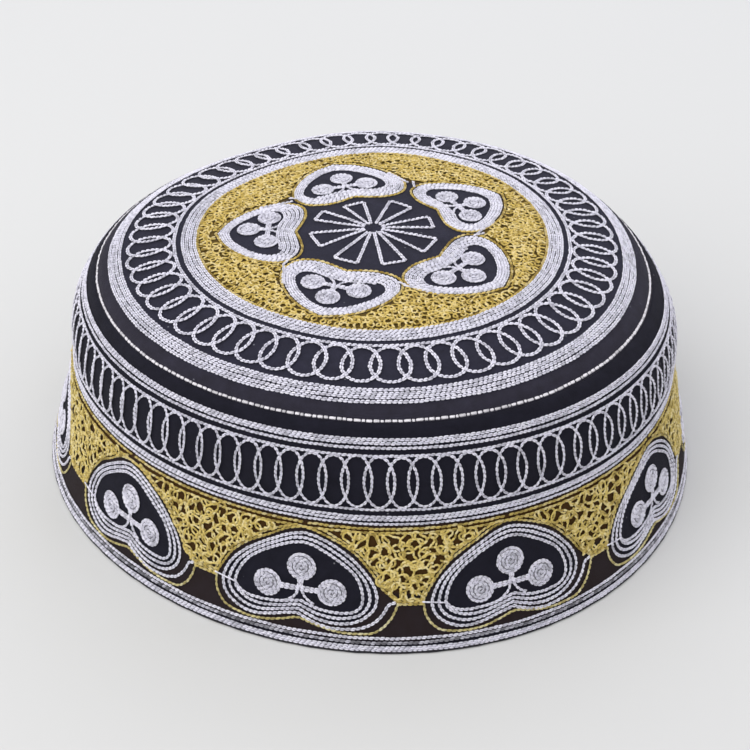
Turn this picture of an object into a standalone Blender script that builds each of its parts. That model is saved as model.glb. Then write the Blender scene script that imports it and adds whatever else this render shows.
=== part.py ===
"""Prayer cap: a round cloth cap with a low domed top and a side band that flares to the rim.

Three pieces of stiffened cloth make it. The crown top is a shallow disc whose edge turns down
over the shoulder, the side band runs from the seam there to the bottom edge, and a narrow
binding closes the bottom edge. The cap is hollow and open below, and it stands on its rim.
Sizes are in millimetres and become metres where the points are made. +Z is up, the front of
the cap faces -Y, and the origin is the middle of the flat face that it stands on.
"""
import math
from collections import namedtuple

import bmesh
import bpy

MM = 0.001

# The cloth: the band and the top are layers quilted together, so they are thicker than one cloth.
BAND_THICKNESS = 2.0
TOP_THICKNESS = 1.8
SEAM_GAP = 0.45

# The binding: its height on the wall, how far it stands proud, and the radius of its outer foot.
BINDING_HEIGHT = 1.0
BINDING_PROUD = 0.3
BINDING_CORNER = 0.4
BINDING_CORNER_STEPS = 2

# The outline of the cap from the rim up and over to the middle of the top.
Section = namedtuple("Section", "place radius height")
SECTIONS = (
    Section("rim", 94.0, 0.0),
    Section("middle of the band", 84.7, 32.3),
    Section("fullest part", 82.5, 46.8),
    Section("top of the band", 78.75, 54.0),
    Section("roll of the shoulder", 77.2, 56.0),
    Section("topstitch", 75.8, 57.5),
    Section("edge of the top", 72.2, 60.3),
    Section("outer ring", 68.5, 62.1),
    Section("inner ring", 52.8, 64.8),
    Section("hearts", 25.0, 66.4),
    Section("centre", 0.0, 66.9),
)
# The seam lies this far up the wall from the rim, measured along the cloth.
SEAM_UP = 60.3

# Seen from above the cap isn't a true circle. Each row widens it by a share of its radius
# towards the bearing given, and as many times round as it has lobes. The rows of a level hold
# at its height, and fade into those of the next level.
SHOULDER_HEIGHT = 54.0
CROWN_HEIGHT = 60.3
Wave = namedtuple("Wave", "level lobes share bearing")
WAVES = (
    Wave("rim", 2, 0.0113, 104.9),
    Wave("rim", 3, 0.0147, 54.7),
    Wave("shoulder", 2, 0.0271, 138.7),
    Wave("shoulder", 3, 0.0067, 88.0),
    Wave("crown", 2, 0.0091, 125.1),
    Wave("crown", 3, 0.0063, 65.6),
)

# The top tilts a little: side to side, front to back.
TILT_X = 0.0017
TILT_Y = 0.0068

# One broad sag at the back left of the top.
SAG_BEARING = 125.0
SAG_OUT = 66.0
SAG_DEPTH = 1.5
SAG_SPREAD = 20.0

# The rim's widest points lie evenly about the origin after this shift.
SHIFT_X = 1.32
SHIFT_Y = 0.43

AROUND = 96
BAND_ROWS = 9
TOP_ROWS = 11

BLACK_CLOTH = ("black cloth", (0.020, 0.019, 0.026, 1.0), 0.9)
BINDING_CLOTH = ("black binding", (0.014, 0.013, 0.017, 1.0), 0.85)


def clear_scene():
    """Empties the open scene, so that the script can be run again."""
    for thing in list(bpy.data.objects):
        bpy.data.objects.remove(thing, do_unlink=True)


def cloth_material(name, colour, roughness):
    """A plain cloth finish."""
    material = bpy.data.materials.new(name)
    material.use_nodes = True
    shader = material.node_tree.nodes["Principled BSDF"]
    shader.inputs["Base Color"].default_value = colour
    shader.inputs["Roughness"].default_value = roughness
    shader.inputs["Metallic"].default_value = 0.0
    material.diffuse_color = colour
    return material


def section_marks():
    """How far up the wall each section lies, along straight lines between the sections."""
    marks = [0.0]
    for low, high in zip(SECTIONS, SECTIONS[1:]):
        marks.append(marks[-1] + math.hypot(high.radius - low.radius, high.height - low.height))
    return marks


MARKS = section_marks()
CENTRE_UP = MARKS[-1]


def section_slope(index):
    """Direction of the outline at a section, taken from its two neighbours."""
    if index == len(SECTIONS) - 1:
        return -1.0, 0.0
    low = max(index - 1, 0)
    high = index + 1
    span = MARKS[high] - MARKS[low]
    return ((SECTIONS[high].radius - SECTIONS[low].radius) / span,
            (SECTIONS[high].height - SECTIONS[low].height) / span)


def outline(up):
    """Radius and height on the outer face, at a distance up the cloth from the rim."""
    index = 0
    while index < len(SECTIONS) - 2 and up > MARKS[index + 1]:
        index += 1
    span = MARKS[index + 1] - MARKS[index]
    t = (up - MARKS[index]) / span
    start, end = SECTIONS[index], SECTIONS[index + 1]
    slope_in, slope_out = section_slope(index), section_slope(index + 1)
    from_start = (1 + 2 * t) * (1 - t) ** 2
    from_end = t * t * (3 - 2 * t)
    from_slope_in = t * (1 - t) ** 2 * span
    from_slope_out = t * t * (t - 1) * span
    radius = (from_start * start.radius + from_end * end.radius
              + from_slope_in * slope_in[0] + from_slope_out * slope_out[0])
    height = (from_start * start.height + from_end * end.height
              + from_slope_in * slope_in[1] + from_slope_out * slope_out[1])
    return radius, height


def outward(up):
    """Direction out of the cloth, as shares along the radius and the height."""
    step = 0.05
    low, high = max(up - step, 0.0), min(up + step, CENTRE_UP)
    radius_low, height_low = outline(low)
    radius_high, height_high = outline(high)
    along, rise = radius_high - radius_low, height_high - height_low
    length = math.hypot(along, rise)
    return rise / length, -along / length


def inside(up, depth):
    """Radius and height of a point that lies a depth under the outer face."""
    radius, height = outline(up)
    out, rise = outward(up)
    return radius - depth * out, height - depth * rise


def level_weights(height):
    """How much of each level's waves holds at a height."""
    if height <= SHOULDER_HEIGHT:
        risen = max(height, 0.0) / SHOULDER_HEIGHT
        return {"rim": 1.0 - risen, "shoulder": risen, "crown": 0.0}
    risen = min((height - SHOULDER_HEIGHT) / (CROWN_HEIGHT - SHOULDER_HEIGHT), 1.0)
    return {"rim": 0.0, "shoulder": 1.0 - risen, "crown": risen}


def settled(angle, radius, height):
    """The point in the cap as it really sits: not quite round, tilting, and sagging at the back."""
    weights = level_weights(height)
    widening = 1.0
    for wave in WAVES:
        turn = wave.lobes * (angle - math.radians(wave.bearing))
        widening += weights[wave.level] * wave.share * math.cos(turn)
    x = radius * widening * math.cos(angle)
    y = radius * widening * math.sin(angle)
    sag_x = x - SAG_OUT * math.cos(math.radians(SAG_BEARING))
    sag_y = y - SAG_OUT * math.sin(math.radians(SAG_BEARING))
    sag = SAG_DEPTH * math.exp(-(sag_x ** 2 + sag_y ** 2) / (2 * SAG_SPREAD ** 2))
    risen = height / CROWN_HEIGHT
    z = height + (TILT_X * x + TILT_Y * y) * risen - sag * min(max(risen, 0.0), 1.0) ** 4
    return (x + SHIFT_X) * MM, (y + SHIFT_Y) * MM, z * MM


def ring(mesh, radius, height):
    """One round of points at a radius and a height."""
    return [mesh.verts.new(settled(2 * math.pi * step / AROUND, radius, height)) for step in range(AROUND)]


def bridge(mesh, first, second):
    """A strip of faces between two rounds of points."""
    for step in range(AROUND):
        after = (step + 1) % AROUND
        mesh.faces.new((first[step], first[after], second[after], second[step]))


def cap_ring(mesh, round_points, middle):
    """Closes the last round of points with a fan to one middle point."""
    for step in range(AROUND):
        mesh.faces.new((round_points[step], round_points[(step + 1) % AROUND], middle))


def finished(mesh, name, material, sharp_degrees=40.0):
    """Turns the faces outward and makes the object."""
    bmesh.ops.recalc_face_normals(mesh, faces=mesh.faces)
    data = bpy.data.meshes.new(name)
    mesh.to_mesh(data)
    mesh.free()
    data.materials.append(material)
    data.shade_smooth()
    data.set_sharp_from_angle(angle=math.radians(sharp_degrees))
    piece = bpy.data.objects.new(name, data)
    bpy.context.scene.collection.objects.link(piece)
    return piece


def spaced(low, high, rows):
    """Evenly spaced places from low to high, ends included."""
    return [low + (high - low) * row / rows for row in range(rows + 1)]


def side_band(material):
    """The flaring wall, from just above the binding up to the seam at the shoulder."""
    mesh = bmesh.new()
    low = BINDING_HEIGHT + SEAM_GAP
    high = SEAM_UP - SEAM_GAP / 2
    places = spaced(low, high, BAND_ROWS)
    outer = [ring(mesh, *inside(up, 0.0)) for up in places]
    inner = [ring(mesh, *inside(up, BAND_THICKNESS)) for up in places]
    around = outer + inner[::-1] + outer[:1]
    for first, second in zip(around, around[1:]):
        bridge(mesh, first, second)
    return finished(mesh, "side_band", material)


def crown_top(material):
    """The domed disc whose edge turns down over the shoulder to the seam."""
    mesh = bmesh.new()
    low = SEAM_UP + SEAM_GAP / 2
    last_row = CENTRE_UP - (CENTRE_UP - low) / TOP_ROWS
    places = spaced(low, last_row, TOP_ROWS - 1)
    outer = [ring(mesh, *inside(up, 0.0)) for up in places]
    inner = [ring(mesh, *inside(up, TOP_THICKNESS)) for up in places]
    around = outer[::-1] + inner
    for first, second in zip(around, around[1:]):
        bridge(mesh, first, second)
    for rounds, depth in ((outer, 0.0), (inner, TOP_THICKNESS)):
        middle = mesh.verts.new(settled(0.0, 0.0, outline(CENTRE_UP)[1] - depth))
        cap_ring(mesh, rounds[-1], middle)
    return finished(mesh, "crown_top", material)


def outer_corner(radius):
    """Rounded outer foot of the binding, from its side to its flat underside."""
    points = []
    for step in range(BINDING_CORNER_STEPS + 1):
        turn = math.pi / 2 * step / BINDING_CORNER_STEPS
        across = radius - BINDING_CORNER * (1 - math.cos(turn))
        points.append((across, BINDING_CORNER * (1 - math.sin(turn))))
    return points


def rim_binding(material):
    """The narrow cloth binding of the bottom edge, with the flat underside that the cap rests on."""
    mesh = bmesh.new()
    outer_top = inside(BINDING_HEIGHT, -BINDING_PROUD)
    inner_top = inside(BINDING_HEIGHT, BAND_THICKNESS + BINDING_PROUD)
    outer_foot = outline(0.0)[0] + BINDING_PROUD
    inner_foot = outline(0.0)[0] - BAND_THICKNESS - BINDING_PROUD
    section = [outer_top]
    section += outer_corner(outer_foot)
    section += [(inner_foot, 0.0), inner_top]
    rounds = [ring(mesh, *point) for point in section]
    rounds.append(rounds[0])
    for first, second in zip(rounds, rounds[1:]):
        bridge(mesh, first, second)
    return finished(mesh, "rim_binding", material)


def build_cap():
    """Builds the three pieces."""
    clear_scene()
    cloth = cloth_material(*BLACK_CLOTH)
    side_band(cloth)
    crown_top(cloth)
    rim_binding(cloth_material(*BINDING_CLOTH))


build_cap()
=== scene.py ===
"""Embroidered prayer cap: cloth shells, chain stitched ornament and a plain studio floor.

Sizes are in millimetres and become metres where a mesh is made. A place on the cap is an angle
round it, from +X towards +Y, and a distance up the cloth from the rim. The front faces -Y.
"""
import math
from collections import namedtuple

import bpy
import numpy as np
from bpy.props import FloatProperty, FloatVectorProperty, IntProperty, PointerProperty
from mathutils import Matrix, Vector


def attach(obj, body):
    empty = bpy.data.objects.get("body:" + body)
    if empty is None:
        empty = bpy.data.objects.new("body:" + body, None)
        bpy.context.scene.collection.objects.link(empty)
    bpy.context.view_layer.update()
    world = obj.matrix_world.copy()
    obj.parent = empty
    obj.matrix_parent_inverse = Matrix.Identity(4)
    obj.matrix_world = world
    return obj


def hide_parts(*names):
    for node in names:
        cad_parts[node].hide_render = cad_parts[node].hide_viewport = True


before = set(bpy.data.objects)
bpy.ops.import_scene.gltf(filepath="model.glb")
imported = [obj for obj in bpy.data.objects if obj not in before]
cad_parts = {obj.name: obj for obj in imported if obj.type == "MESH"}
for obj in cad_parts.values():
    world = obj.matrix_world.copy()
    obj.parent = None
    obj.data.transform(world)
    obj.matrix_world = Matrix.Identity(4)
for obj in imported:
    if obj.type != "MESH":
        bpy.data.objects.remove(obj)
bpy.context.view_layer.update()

bl_info = {
    "name": "Embroidered prayer cap",
    "version": (1, 0, 0),
    "blender": (4, 5, 0),
    "location": "3D View > Sidebar > Cap",
    "description": "Makes the cloth, the chain stitched ornament and the stage of a prayer cap",
    "category": "Object",
}

MM = 0.001
BODY = "root"
TURN = 2 * math.pi

# The shape of the cap, the same values as the frame's own.
Section = namedtuple("Section", "place radius height")
SECTIONS = (
    Section("rim", 94.0, 0.0),
    Section("middle of the band", 84.7, 32.3),
    Section("fullest part", 82.5, 46.8),
    Section("top of the band", 78.75, 54.0),
    Section("roll of the shoulder", 77.2, 56.0),
    Section("topstitch", 75.8, 57.5),
    Section("edge of the top", 72.2, 60.3),
    Section("outer ring", 68.5, 62.1),
    Section("inner ring", 52.8, 64.8),
    Section("hearts", 25.0, 66.4),
    Section("centre", 0.0, 66.9),
)
SHOULDER_HEIGHT = 54.0
CROWN_HEIGHT = 60.3
Wave = namedtuple("Wave", "level lobes share bearing")
WAVES = (
    Wave(0, 2, 0.0113, 104.9),
    Wave(0, 3, 0.0147, 54.7),
    Wave(1, 2, 0.0271, 138.7),
    Wave(1, 3, 0.0067, 88.0),
    Wave(2, 2, 0.0091, 125.1),
    Wave(2, 3, 0.0063, 65.6),
)
LEVEL_HEIGHTS = (0.0, SHOULDER_HEIGHT, CROWN_HEIGHT)
TILT_X, TILT_Y = 0.0017, 0.0068
SAG_BEARING, SAG_OUT, SAG_DEPTH, SAG_SPREAD = 125.0, 66.0, 1.5, 20.0
SHIFT_X, SHIFT_Y = 1.32, 0.43
SEAM_UP, SEAM_GAP, SEAM_SHOWN = 60.3, 0.45, 0.06
BAND_THICKNESS, TOP_THICKNESS = 2.0, 1.8
BINDING_HEIGHT, BINDING_PROUD = 1.0, 0.3

# Soft relief of the cloth: the topstitch pulls it in and the plain strips beside it stand up.
TOPSTITCH_UP = 61.0
Relief = namedtuple("Relief", "up lift spread")
RELIEFS = (
    Relief(TOPSTITCH_UP, -0.30, 0.5), Relief(58.7, 0.30, 1.2), Relief(63.2, 0.30, 1.1),
    Relief(34.0, -0.30, 1.6),
)

# Low swells of the cloth, short puckers along the topstitch, and the frayed face of the binding:
# how deep they are, how many go round, where they start, and how they turn on their way up.
Swell = namedtuple("Swell", "depth count start climb")
SWELLS = (Swell(0.10, 5, 1.3, 0.05), Swell(0.07, 9, -0.4, 0.09))
PUCKERS = (Swell(0.07, 181, 0.9, 0.0), Swell(0.05, 107, 0.0, 0.0))
FRAYS = (Swell(0.05, 61, 0.0, 0.0), Swell(0.04, 97, 1.0, 0.0))
PUCKER_SPREAD = 1.5
FLAT_RIM = 6.0

# Rows round the band, by how far up the cloth they lie. One row of the hem is painted darker, as
# painted shade, and the single rows are narrower than those that lie side by side.
HEM_ROWS = (1.05, 1.75, 4.2)
HEM_PAINTED_SHADE_ROW = 3.1
BAND_WHITE_ROWS = (34.35, 35.6, 36.4, 38.45, 52.35, 54.15, 55.3, 56.1)
BAND_SINGLE_ROWS = (34.35, 38.45, 52.35, 54.15)
BAND_GOLD_ROWS = (31.75, 33.05)

# Interlaced ovals on the band and on the top.
Loops = namedtuple("Loops", "count low high half_width bearing warp warp_bearing")
BAND_LOOPS = Loops(96, 39.1, 52.15, 3.68, 268.4, 4.6, 0.0)
TOP_LOOPS = Loops(56, 55.1, 66.9, 4.75, 270.7, 0.0, 0.0)

# Rows on the top, by their radius.
TOP_OUTER_ROWS = (69.1, 70.05, 71.0, 71.95)
TOP_INNER_ROWS = (48.65, 49.75, 50.85, 51.95, 54.25)
TOP_GOLD_ROW = 47.9

# Ten hearts on the band, tip up. All repeat one drawing, each stretched and leaning a little by
# itself, about a height up the cloth. The front four come from the photograph and the others
# follow their spacing.
SideHeart = namedtuple("SideHeart", "bearing wide lean")
SIDE_HEARTS = (
    SideHeart(223.35, 1.02, -0.19), SideHeart(258.35, 1.03, 0.0), SideHeart(291.95, 1.0, 0.0),
    SideHeart(324.95, 0.98, 0.08), SideHeart(359.3, 0.99, 0.04), SideHeart(34.7, 1.01, -0.03),
    SideHeart(71.7, 1.0, 0.02), SideHeart(109.9, 1.0, -0.02), SideHeart(148.6, 1.01, 0.03),
    SideHeart(186.6, 1.02, -0.05),
)
LEAN_UP = 21.0
# The first and the third turn of a band heart's spiral, from the cleft up the right side to the
# tip, and from the tip down the left side to the cleft.
Point = namedtuple("Point", "across up")
SIDE_TURNS = 2.0
SIDE_FIRST_RIGHT = (
    Point(0.3, 12.3), Point(4.2, 10.9), Point(7.4, 10.35), Point(10.7, 10.35), Point(13.3, 10.8),
    Point(15.0, 12.3), Point(15.4, 14.6), Point(14.95, 17.1), Point(14.1, 19.2), Point(12.6, 21.3),
    Point(10.7, 22.9), Point(7.6, 25.0), Point(4.6, 26.7), Point(2.6, 27.5), Point(0.4, 27.8),
)
SIDE_FIRST_LEFT = (
    Point(0.4, 27.8), Point(-1.6, 27.5), Point(-4.75, 26.3), Point(-9.15, 23.9), Point(-11.9, 22.0),
    Point(-14.3, 19.5), Point(-15.5, 17.6), Point(-16.4, 15.3), Point(-16.8, 13.1),
    Point(-16.1, 11.4), Point(-14.2, 10.05), Point(-11.4, 9.3), Point(-8.5, 9.3), Point(-5.6, 9.8),
    Point(-3.0, 10.45), Point(0.2, 11.15),
)
SIDE_THIRD_RIGHT = (
    Point(0.1, 9.95), Point(2.8, 8.75), Point(5.35, 7.9), Point(8.4, 7.45), Point(11.5, 7.55),
    Point(14.1, 8.25), Point(16.5, 9.75), Point(18.2, 12.0), Point(18.75, 14.4),
    Point(18.4, 16.5), Point(17.3, 18.9), Point(15.3, 21.65), Point(12.2, 24.9),
    Point(9.1, 27.15), Point(6.05, 28.8), Point(3.0, 29.9), Point(0.4, 30.35),
)
SIDE_THIRD_LEFT = (
    Point(0.4, 30.35), Point(-2.9, 29.5), Point(-5.9, 28.05), Point(-8.95, 26.3),
    Point(-12.3, 24.1), Point(-14.9, 22.0), Point(-17.3, 19.5), Point(-18.9, 17.1),
    Point(-19.8, 15.0), Point(-20.2, 13.1), Point(-19.8, 10.8), Point(-18.4, 8.8),
    Point(-16.1, 7.3), Point(-13.3, 6.45), Point(-10.8, 6.4), Point(-7.95, 6.95),
    Point(-4.7, 7.9), Point(-1.8, 8.6), Point(0.0, 8.9),
)
# The gold row under each band heart, left to right, cleft in the middle.
SIDE_GOLD_FOOT = (
    Point(-22.2, 13.7), Point(-21.9, 10.0), Point(-19.6, 6.6), Point(-14.5, 5.25), Point(-8.5, 5.35),
    Point(-3.6, 6.6), Point(0.0, 7.6), Point(3.8, 6.6), Point(9.0, 5.4), Point(14.5, 5.15),
    Point(18.6, 5.7), Point(21.6, 8.3), Point(23.2, 11.5), Point(23.9, 14.0),
)
Disc = namedtuple("Disc", "across up radius")
SIDE_DISCS = (Disc(0.2, 21.25, 3.65), Disc(7.95, 15.5, 3.6), Disc(-8.15, 15.4, 3.6))
SIDE_JOINT = Point(0.1, 15.5)
SIDE_LEGS = (
    (Point(0.6, 14.9), Point(1.4, 13.5), Point(2.6, 12.4), Point(3.8, 11.7)),
    (Point(-0.4, 14.9), Point(-1.1, 13.4), Point(-2.4, 12.2), Point(-4.0, 11.3)),
)

# Five hearts on the top, tip outward: across is square to the bearing, up is away from the middle.
# All repeat one drawing, a little wider or taller. In each one the first turn, the edge and the
# trefoil lie a little aside.
TopHeart = namedtuple("TopHeart", "bearing wide tall first edge leaf")
TOP_HEARTS = (
    TopHeart(29.5, 0.95, 1.0, (-0.3, -2.6), (-0.6, -1.2), (0.4, -2.8)),
    TopHeart(105.6, 0.99, 1.09, (-1.2, -2.4), (-0.3, -1.2), (-1.1, -4.0)),
    TopHeart(178.5, 0.98, 1.0, (-1.9, -1.0), (-1.9, -1.4), (-0.5, -1.6)),
    TopHeart(252.0, 1.0, 1.0, (-0.2, 0.65), (-0.2, 0.65), (0.1, 0.65)),
    TopHeart(320.0, 1.0, 1.0, (0.4, -0.1), (-0.2, 0.2), (1.1, -0.4)),
)
TOP_TURNS = 5.0
TOP_INNER = (
    Point(0.0, 26.9), Point(4.0, 26.6), Point(8.2, 25.6), Point(11.4, 26.6), Point(12.3, 28.9),
    Point(11.0, 32.3), Point(7.6, 36.4), Point(3.4, 39.4), Point(0.0, 40.4),
)
TOP_OUTER = (
    Point(0.0, 22.4), Point(4.5, 21.0), Point(9.6, 20.2), Point(14.2, 21.6), Point(16.3, 25.4),
    Point(15.6, 30.6), Point(12.4, 36.2), Point(6.6, 41.4), Point(0.0, 44.4),
)
TOP_DISCS = (Disc(0.4, 35.6, 3.3), Disc(6.4, 30.4, 3.3), Disc(-6.4, 30.4, 3.3))
TOP_JOINT = Point(0.2, 30.2)
TOP_LEGS = (
    (Point(0.6, 29.6), Point(1.3, 28.3), Point(2.6, 27.2)),
    (Point(-0.4, 29.6), Point(-1.1, 28.3), Point(-2.4, 27.2)),
)

# Eight petals round the middle of the top.
Petal = namedtuple("Petal", "bearing reach half_width")
PETALS = (
    Petal(11.8, 16.5, 3.1), Petal(60.1, 15.7, 3.5), Petal(111.5, 14.8, 3.0), Petal(154.4, 16.6, 2.6),
    Petal(201.4, 16.9, 4.0), Petal(246.7, 18.5, 3.45), Petal(287.2, 18.8, 3.2),
    Petal(329.6, 17.7, 3.85),
)
PETAL_START = 2.3

# How the thread of a stitch lies: where along it a leg starts, swells and ends, how far the leg
# parts from the middle there, and how high it rides, each as a share of the length, the width and
# the height. Then the sides that the legs lie on, how far they are staggered, and how unevenly the
# stitches start.
Lay = namedtuple("Lay", "along part ride sides stagger jitter")
STRAIGHT = (0.0, 0.0, 0.0, 0.0)
CHAIN = Lay((-0.14, 0.20, 0.72, 1.14), (0.06, 0.24, 0.28, 0.05), (0.35, 0.95, 1.15, 0.35),
            (1.0, -1.0), 0.11, 0.1)
SINGLE = Lay((-0.25, 0.15, 0.85, 1.25), STRAIGHT, (1.0, 1.0, 1.0, 1.0), (1.0,), 0.0, 0.1)
RUNNING = Lay((0.0, 0.14, 0.84, 0.99), STRAIGHT, (-0.6, 1.0, 1.0, -0.6), (1.0,), 0.0, 0.3)

# A stitch: its length, its width over both legs, the width of a leg, the height of its middle
# over the cloth, and how it lies.
Stitch = namedtuple("Stitch", "length width leg height lay")
WHITE = Stitch(1.3, 0.82, 0.39, 0.24, CHAIN)
WHITE_WIDE = Stitch(1.3, 1.02, 0.49, 0.24, CHAIN)
WHITE_FINE = Stitch(1.25, 0.70, 0.34, 0.24, CHAIN)
WHITE_THIN = Stitch(1.3, 0.84, 0.40, 0.22, CHAIN)
GOLD = Stitch(1.4, 0.72, 0.34, 0.24, CHAIN)
GOLD_FINE = Stitch(1.35, 0.63, 0.31, 0.24, CHAIN)
NETTING = Stitch(1.05, 0.62, 0.60, 0.24, SINGLE)
GROUND = Stitch(1.15, 0.64, 0.60, 0.26, SINGLE)
COIL = Stitch(1.2, 0.71, 0.34, 0.26, CHAIN)
STRAND = Stitch(1.0, 0.45, 0.45, 0.20, SINGLE)
DASH = Stitch(1.5, 0.74, 0.74, 0.18, RUNNING)

# How uneven the stitches are: their size, their sway aside as a share of the width, how high they
# ride, and the tone of each leg.
SIZE_SPREAD, SWAY, RISE, LEG_TONE = 0.08, 0.035, 0.02, 0.2
# A leg is a closed spindle: a tip, two rounds of four points, and a tip. Its faces, and where its
# points lie along it and round it, for the grain of the thread.
LEG_POINTS = 10
LEG_HALF_HEIGHT = 0.24
LEG_QUADS = ((1, 2, 6, 5), (2, 3, 7, 6), (3, 4, 8, 7), (4, 1, 5, 8))
LEG_TRIANGLES = (
    (0, 2, 1), (0, 3, 2), (0, 4, 3), (0, 1, 4),
    (9, 5, 6), (9, 6, 7), (9, 7, 8), (9, 8, 5),
)
LEG_ALONG = (0.0, 0.3, 0.3, 0.3, 0.3, 0.7, 0.7, 0.7, 0.7, 1.0)
LEG_ROUND = (0.5, 0.0, 0.5, 1.0, 0.5, 0.0, 0.5, 1.0, 0.5, 0.5)
# The shortest row, as a share of a stitch, and how far apart the points of a path are.
SHORTEST_ROW = 0.6
PATH_STEP = 0.25


def section_table():
    """Marks along the cloth, and the outline's slope at each section."""
    radius = np.array([s.radius for s in SECTIONS])
    height = np.array([s.height for s in SECTIONS])
    marks = np.concatenate([[0.0], np.cumsum(np.hypot(np.diff(radius), np.diff(height)))])
    slopes = np.zeros((len(marks), 2))
    for index in range(len(marks) - 1):
        low = max(index - 1, 0)
        span = marks[index + 1] - marks[low]
        slopes[index] = ((radius[index + 1] - radius[low]) / span,
                         (height[index + 1] - height[low]) / span)
    slopes[-1] = (-1.0, 0.0)
    return radius, height, marks, slopes


RADIUS, HEIGHT, MARKS, SLOPES = section_table()
CENTRE_UP = MARKS[-1]


def outline(up):
    """Radius and height on the outer face, at distances up the cloth."""
    up = np.asarray(up, float)
    index = np.clip(np.searchsorted(MARKS, up) - 1, 0, len(MARKS) - 2)
    span = MARKS[index + 1] - MARKS[index]
    t = (up - MARKS[index]) / span
    from_start, from_end = (1 + 2 * t) * (1 - t) ** 2, t * t * (3 - 2 * t)
    slope_in, slope_out = t * (1 - t) ** 2 * span, t * t * (t - 1) * span
    radius = (from_start * RADIUS[index] + from_end * RADIUS[index + 1]
              + slope_in * SLOPES[index, 0] + slope_out * SLOPES[index + 1, 0])
    height = (from_start * HEIGHT[index] + from_end * HEIGHT[index + 1]
              + slope_in * SLOPES[index, 1] + slope_out * SLOPES[index + 1, 1])
    return radius, height


def settled(angle, radius, height):
    """Points of the cap as it really sits: not quite round, tilting, and sagging at the back."""
    widening = np.ones_like(radius)
    for wave in WAVES:
        share = np.interp(height, LEVEL_HEIGHTS, np.eye(len(LEVEL_HEIGHTS))[wave.level])
        turn = wave.lobes * (angle - math.radians(wave.bearing))
        widening = widening + share * wave.share * np.cos(turn)
    x = radius * widening * np.cos(angle)
    y = radius * widening * np.sin(angle)
    sag_x = x - SAG_OUT * math.cos(math.radians(SAG_BEARING))
    sag_y = y - SAG_OUT * math.sin(math.radians(SAG_BEARING))
    sag = SAG_DEPTH * np.exp(-(sag_x ** 2 + sag_y ** 2) / (2 * SAG_SPREAD ** 2))
    risen = height / CROWN_HEIGHT
    z = height + (TILT_X * x + TILT_Y * y) * risen - sag * np.clip(risen, 0.0, 1.0) ** 4
    return np.stack([x + SHIFT_X, y + SHIFT_Y, z], axis=-1)


def swelling(swells, angle, up):
    """How far swells lift the cloth."""
    return sum(s.depth * np.sin(s.count * angle + s.start + s.climb * up) for s in swells)


def ripple(angle, up):
    """Low uneven swells of the cloth, and short puckers along the topstitch."""
    near = np.exp(-((up - TOPSTITCH_UP) / PUCKER_SPREAD) ** 2)
    fading = np.clip(up / FLAT_RIM, 0.0, 1.0)
    return swelling(SWELLS, angle, up) * fading + swelling(PUCKERS, angle, up) * near


def cloth_point(angle, up, lift):
    """Points over the cloth, with the relief, before the normal is known."""
    radius, height = outline(up)
    step = 0.05
    radius_low, height_low = outline(np.maximum(up - step, 0.0))
    radius_high, height_high = outline(np.minimum(up + step, CENTRE_UP))
    along, rise = radius_high - radius_low, height_high - height_low
    length = np.hypot(along, rise)
    over = lift + ripple(angle, up)
    for relief in RELIEFS:
        over = over + relief.lift * np.exp(-((up - relief.up) / relief.spread) ** 2)
    return settled(angle, radius + over * rise / length, height - over * along / length)


def cloth_frame(angle, up):
    """Points on the cloth and the directions square to it."""
    around_step, up_step = 0.002, 0.1
    here = cloth_point(angle, up, 0.0)
    around = cloth_point(angle + around_step, up, 0.0) - cloth_point(angle - around_step, up, 0.0)
    upward = (cloth_point(angle, np.minimum(up + up_step, CENTRE_UP), 0.0)
              - cloth_point(angle, np.maximum(up - up_step, 0.0), 0.0))
    return here, unit(np.cross(around, upward))


def unit(vectors):
    """Vectors of length one."""
    return vectors / np.maximum(np.linalg.norm(vectors, axis=-1, keepdims=True), 1e-9)


# Places up the cloth of the top and their radii, to find the one from the other.
TOP_SAMPLES = 4000
TOP_UPS = np.linspace(MARKS[3], CENTRE_UP, TOP_SAMPLES)
TOP_RADII = outline(TOP_UPS)[0]


def up_at_radius(radius):
    """Distance up the cloth of a radius on the top."""
    return np.interp(-np.asarray(radius, float), -TOP_RADII, TOP_UPS)


def band_place(heart, across, up):
    """Angle and distance up of a place on the band, in the millimetres of a heart's drawing."""
    across = np.asarray(across, float) * heart.wide + heart.lean * (np.asarray(up, float) - LEAN_UP)
    return math.radians(heart.bearing) + across / outline(up)[0], np.asarray(up, float)


def in_drawing(heart, angle, up):
    """The across of places on the band, in the millimetres of a heart's drawing."""
    across = (np.mod(angle - math.radians(heart.bearing) + math.pi, TURN) - math.pi) * outline(up)[0]
    return (across - heart.lean * (up - LEAN_UP)) / heart.wide


def top_place(bearing, across, out):
    """Angle and distance up of a place on the top: across and out along a bearing."""
    turn = math.radians(bearing)
    x = out * math.cos(turn) + across * math.sin(turn)
    y = out * math.sin(turn) - across * math.cos(turn)
    return np.unwrap(np.arctan2(y, x)), up_at_radius(np.hypot(x, y))


def marks_along(points):
    """How far along a path each of its points lies."""
    return np.concatenate([[0.0], np.cumsum(np.linalg.norm(np.diff(points, axis=0), axis=1))])


def curve_through(points):
    """A smooth curve through points, as a function of the share of the way along it."""
    xy = np.array([(p.across, p.up) for p in points])
    marks = marks_along(xy)
    marks = marks / marks[-1]
    slopes = np.gradient(xy, marks, axis=0, edge_order=1)

    def at(share):
        index = np.clip(np.searchsorted(marks, share) - 1, 0, len(marks) - 2)
        span = marks[index + 1] - marks[index]
        t = ((share - marks[index]) / span)[:, None]
        span = span[:, None]
        return ((1 + 2 * t) * (1 - t) ** 2 * xy[index] + t * t * (3 - 2 * t) * xy[index + 1]
                + t * (1 - t) ** 2 * span * slopes[index] + t * t * (t - 1) * span * slopes[index + 1])
    return at


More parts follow.
